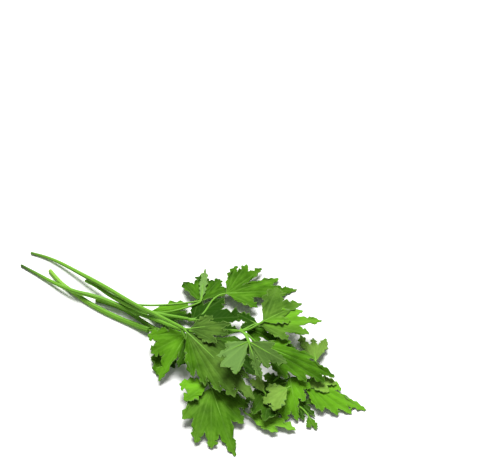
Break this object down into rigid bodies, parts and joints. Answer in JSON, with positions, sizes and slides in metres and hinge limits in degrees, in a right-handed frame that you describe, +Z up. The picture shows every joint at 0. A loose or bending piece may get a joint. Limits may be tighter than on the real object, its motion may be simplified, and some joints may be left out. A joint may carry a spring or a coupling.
{
  "type": "parsley bunch",
  "caption": "Loose bunch of fresh flat-leaf parsley laid on its side: tapering cut stalks that branch into lobed, toothed leaf blades.",
  "frame": {"origin": "middle of the bunch's box in plan, on the surface that it lies on", "axes": "+X from the cut ends to the leaf tips, +Y across the bunch towards its back, +Z up"},
  "size_m": [0.2227, 0.1212, 0.0275],
  "materials": {
    "leaf": "satin"
  },
  "bodies": {
    "root": {"leafy_stem_1": "leaf", "leafy_stem_2": "leaf", "leafy_stem_3": "leaf", "leafy_stem_4": "leaf", "leafy_stem_5": "leaf"}
  },
  "joints": []
}
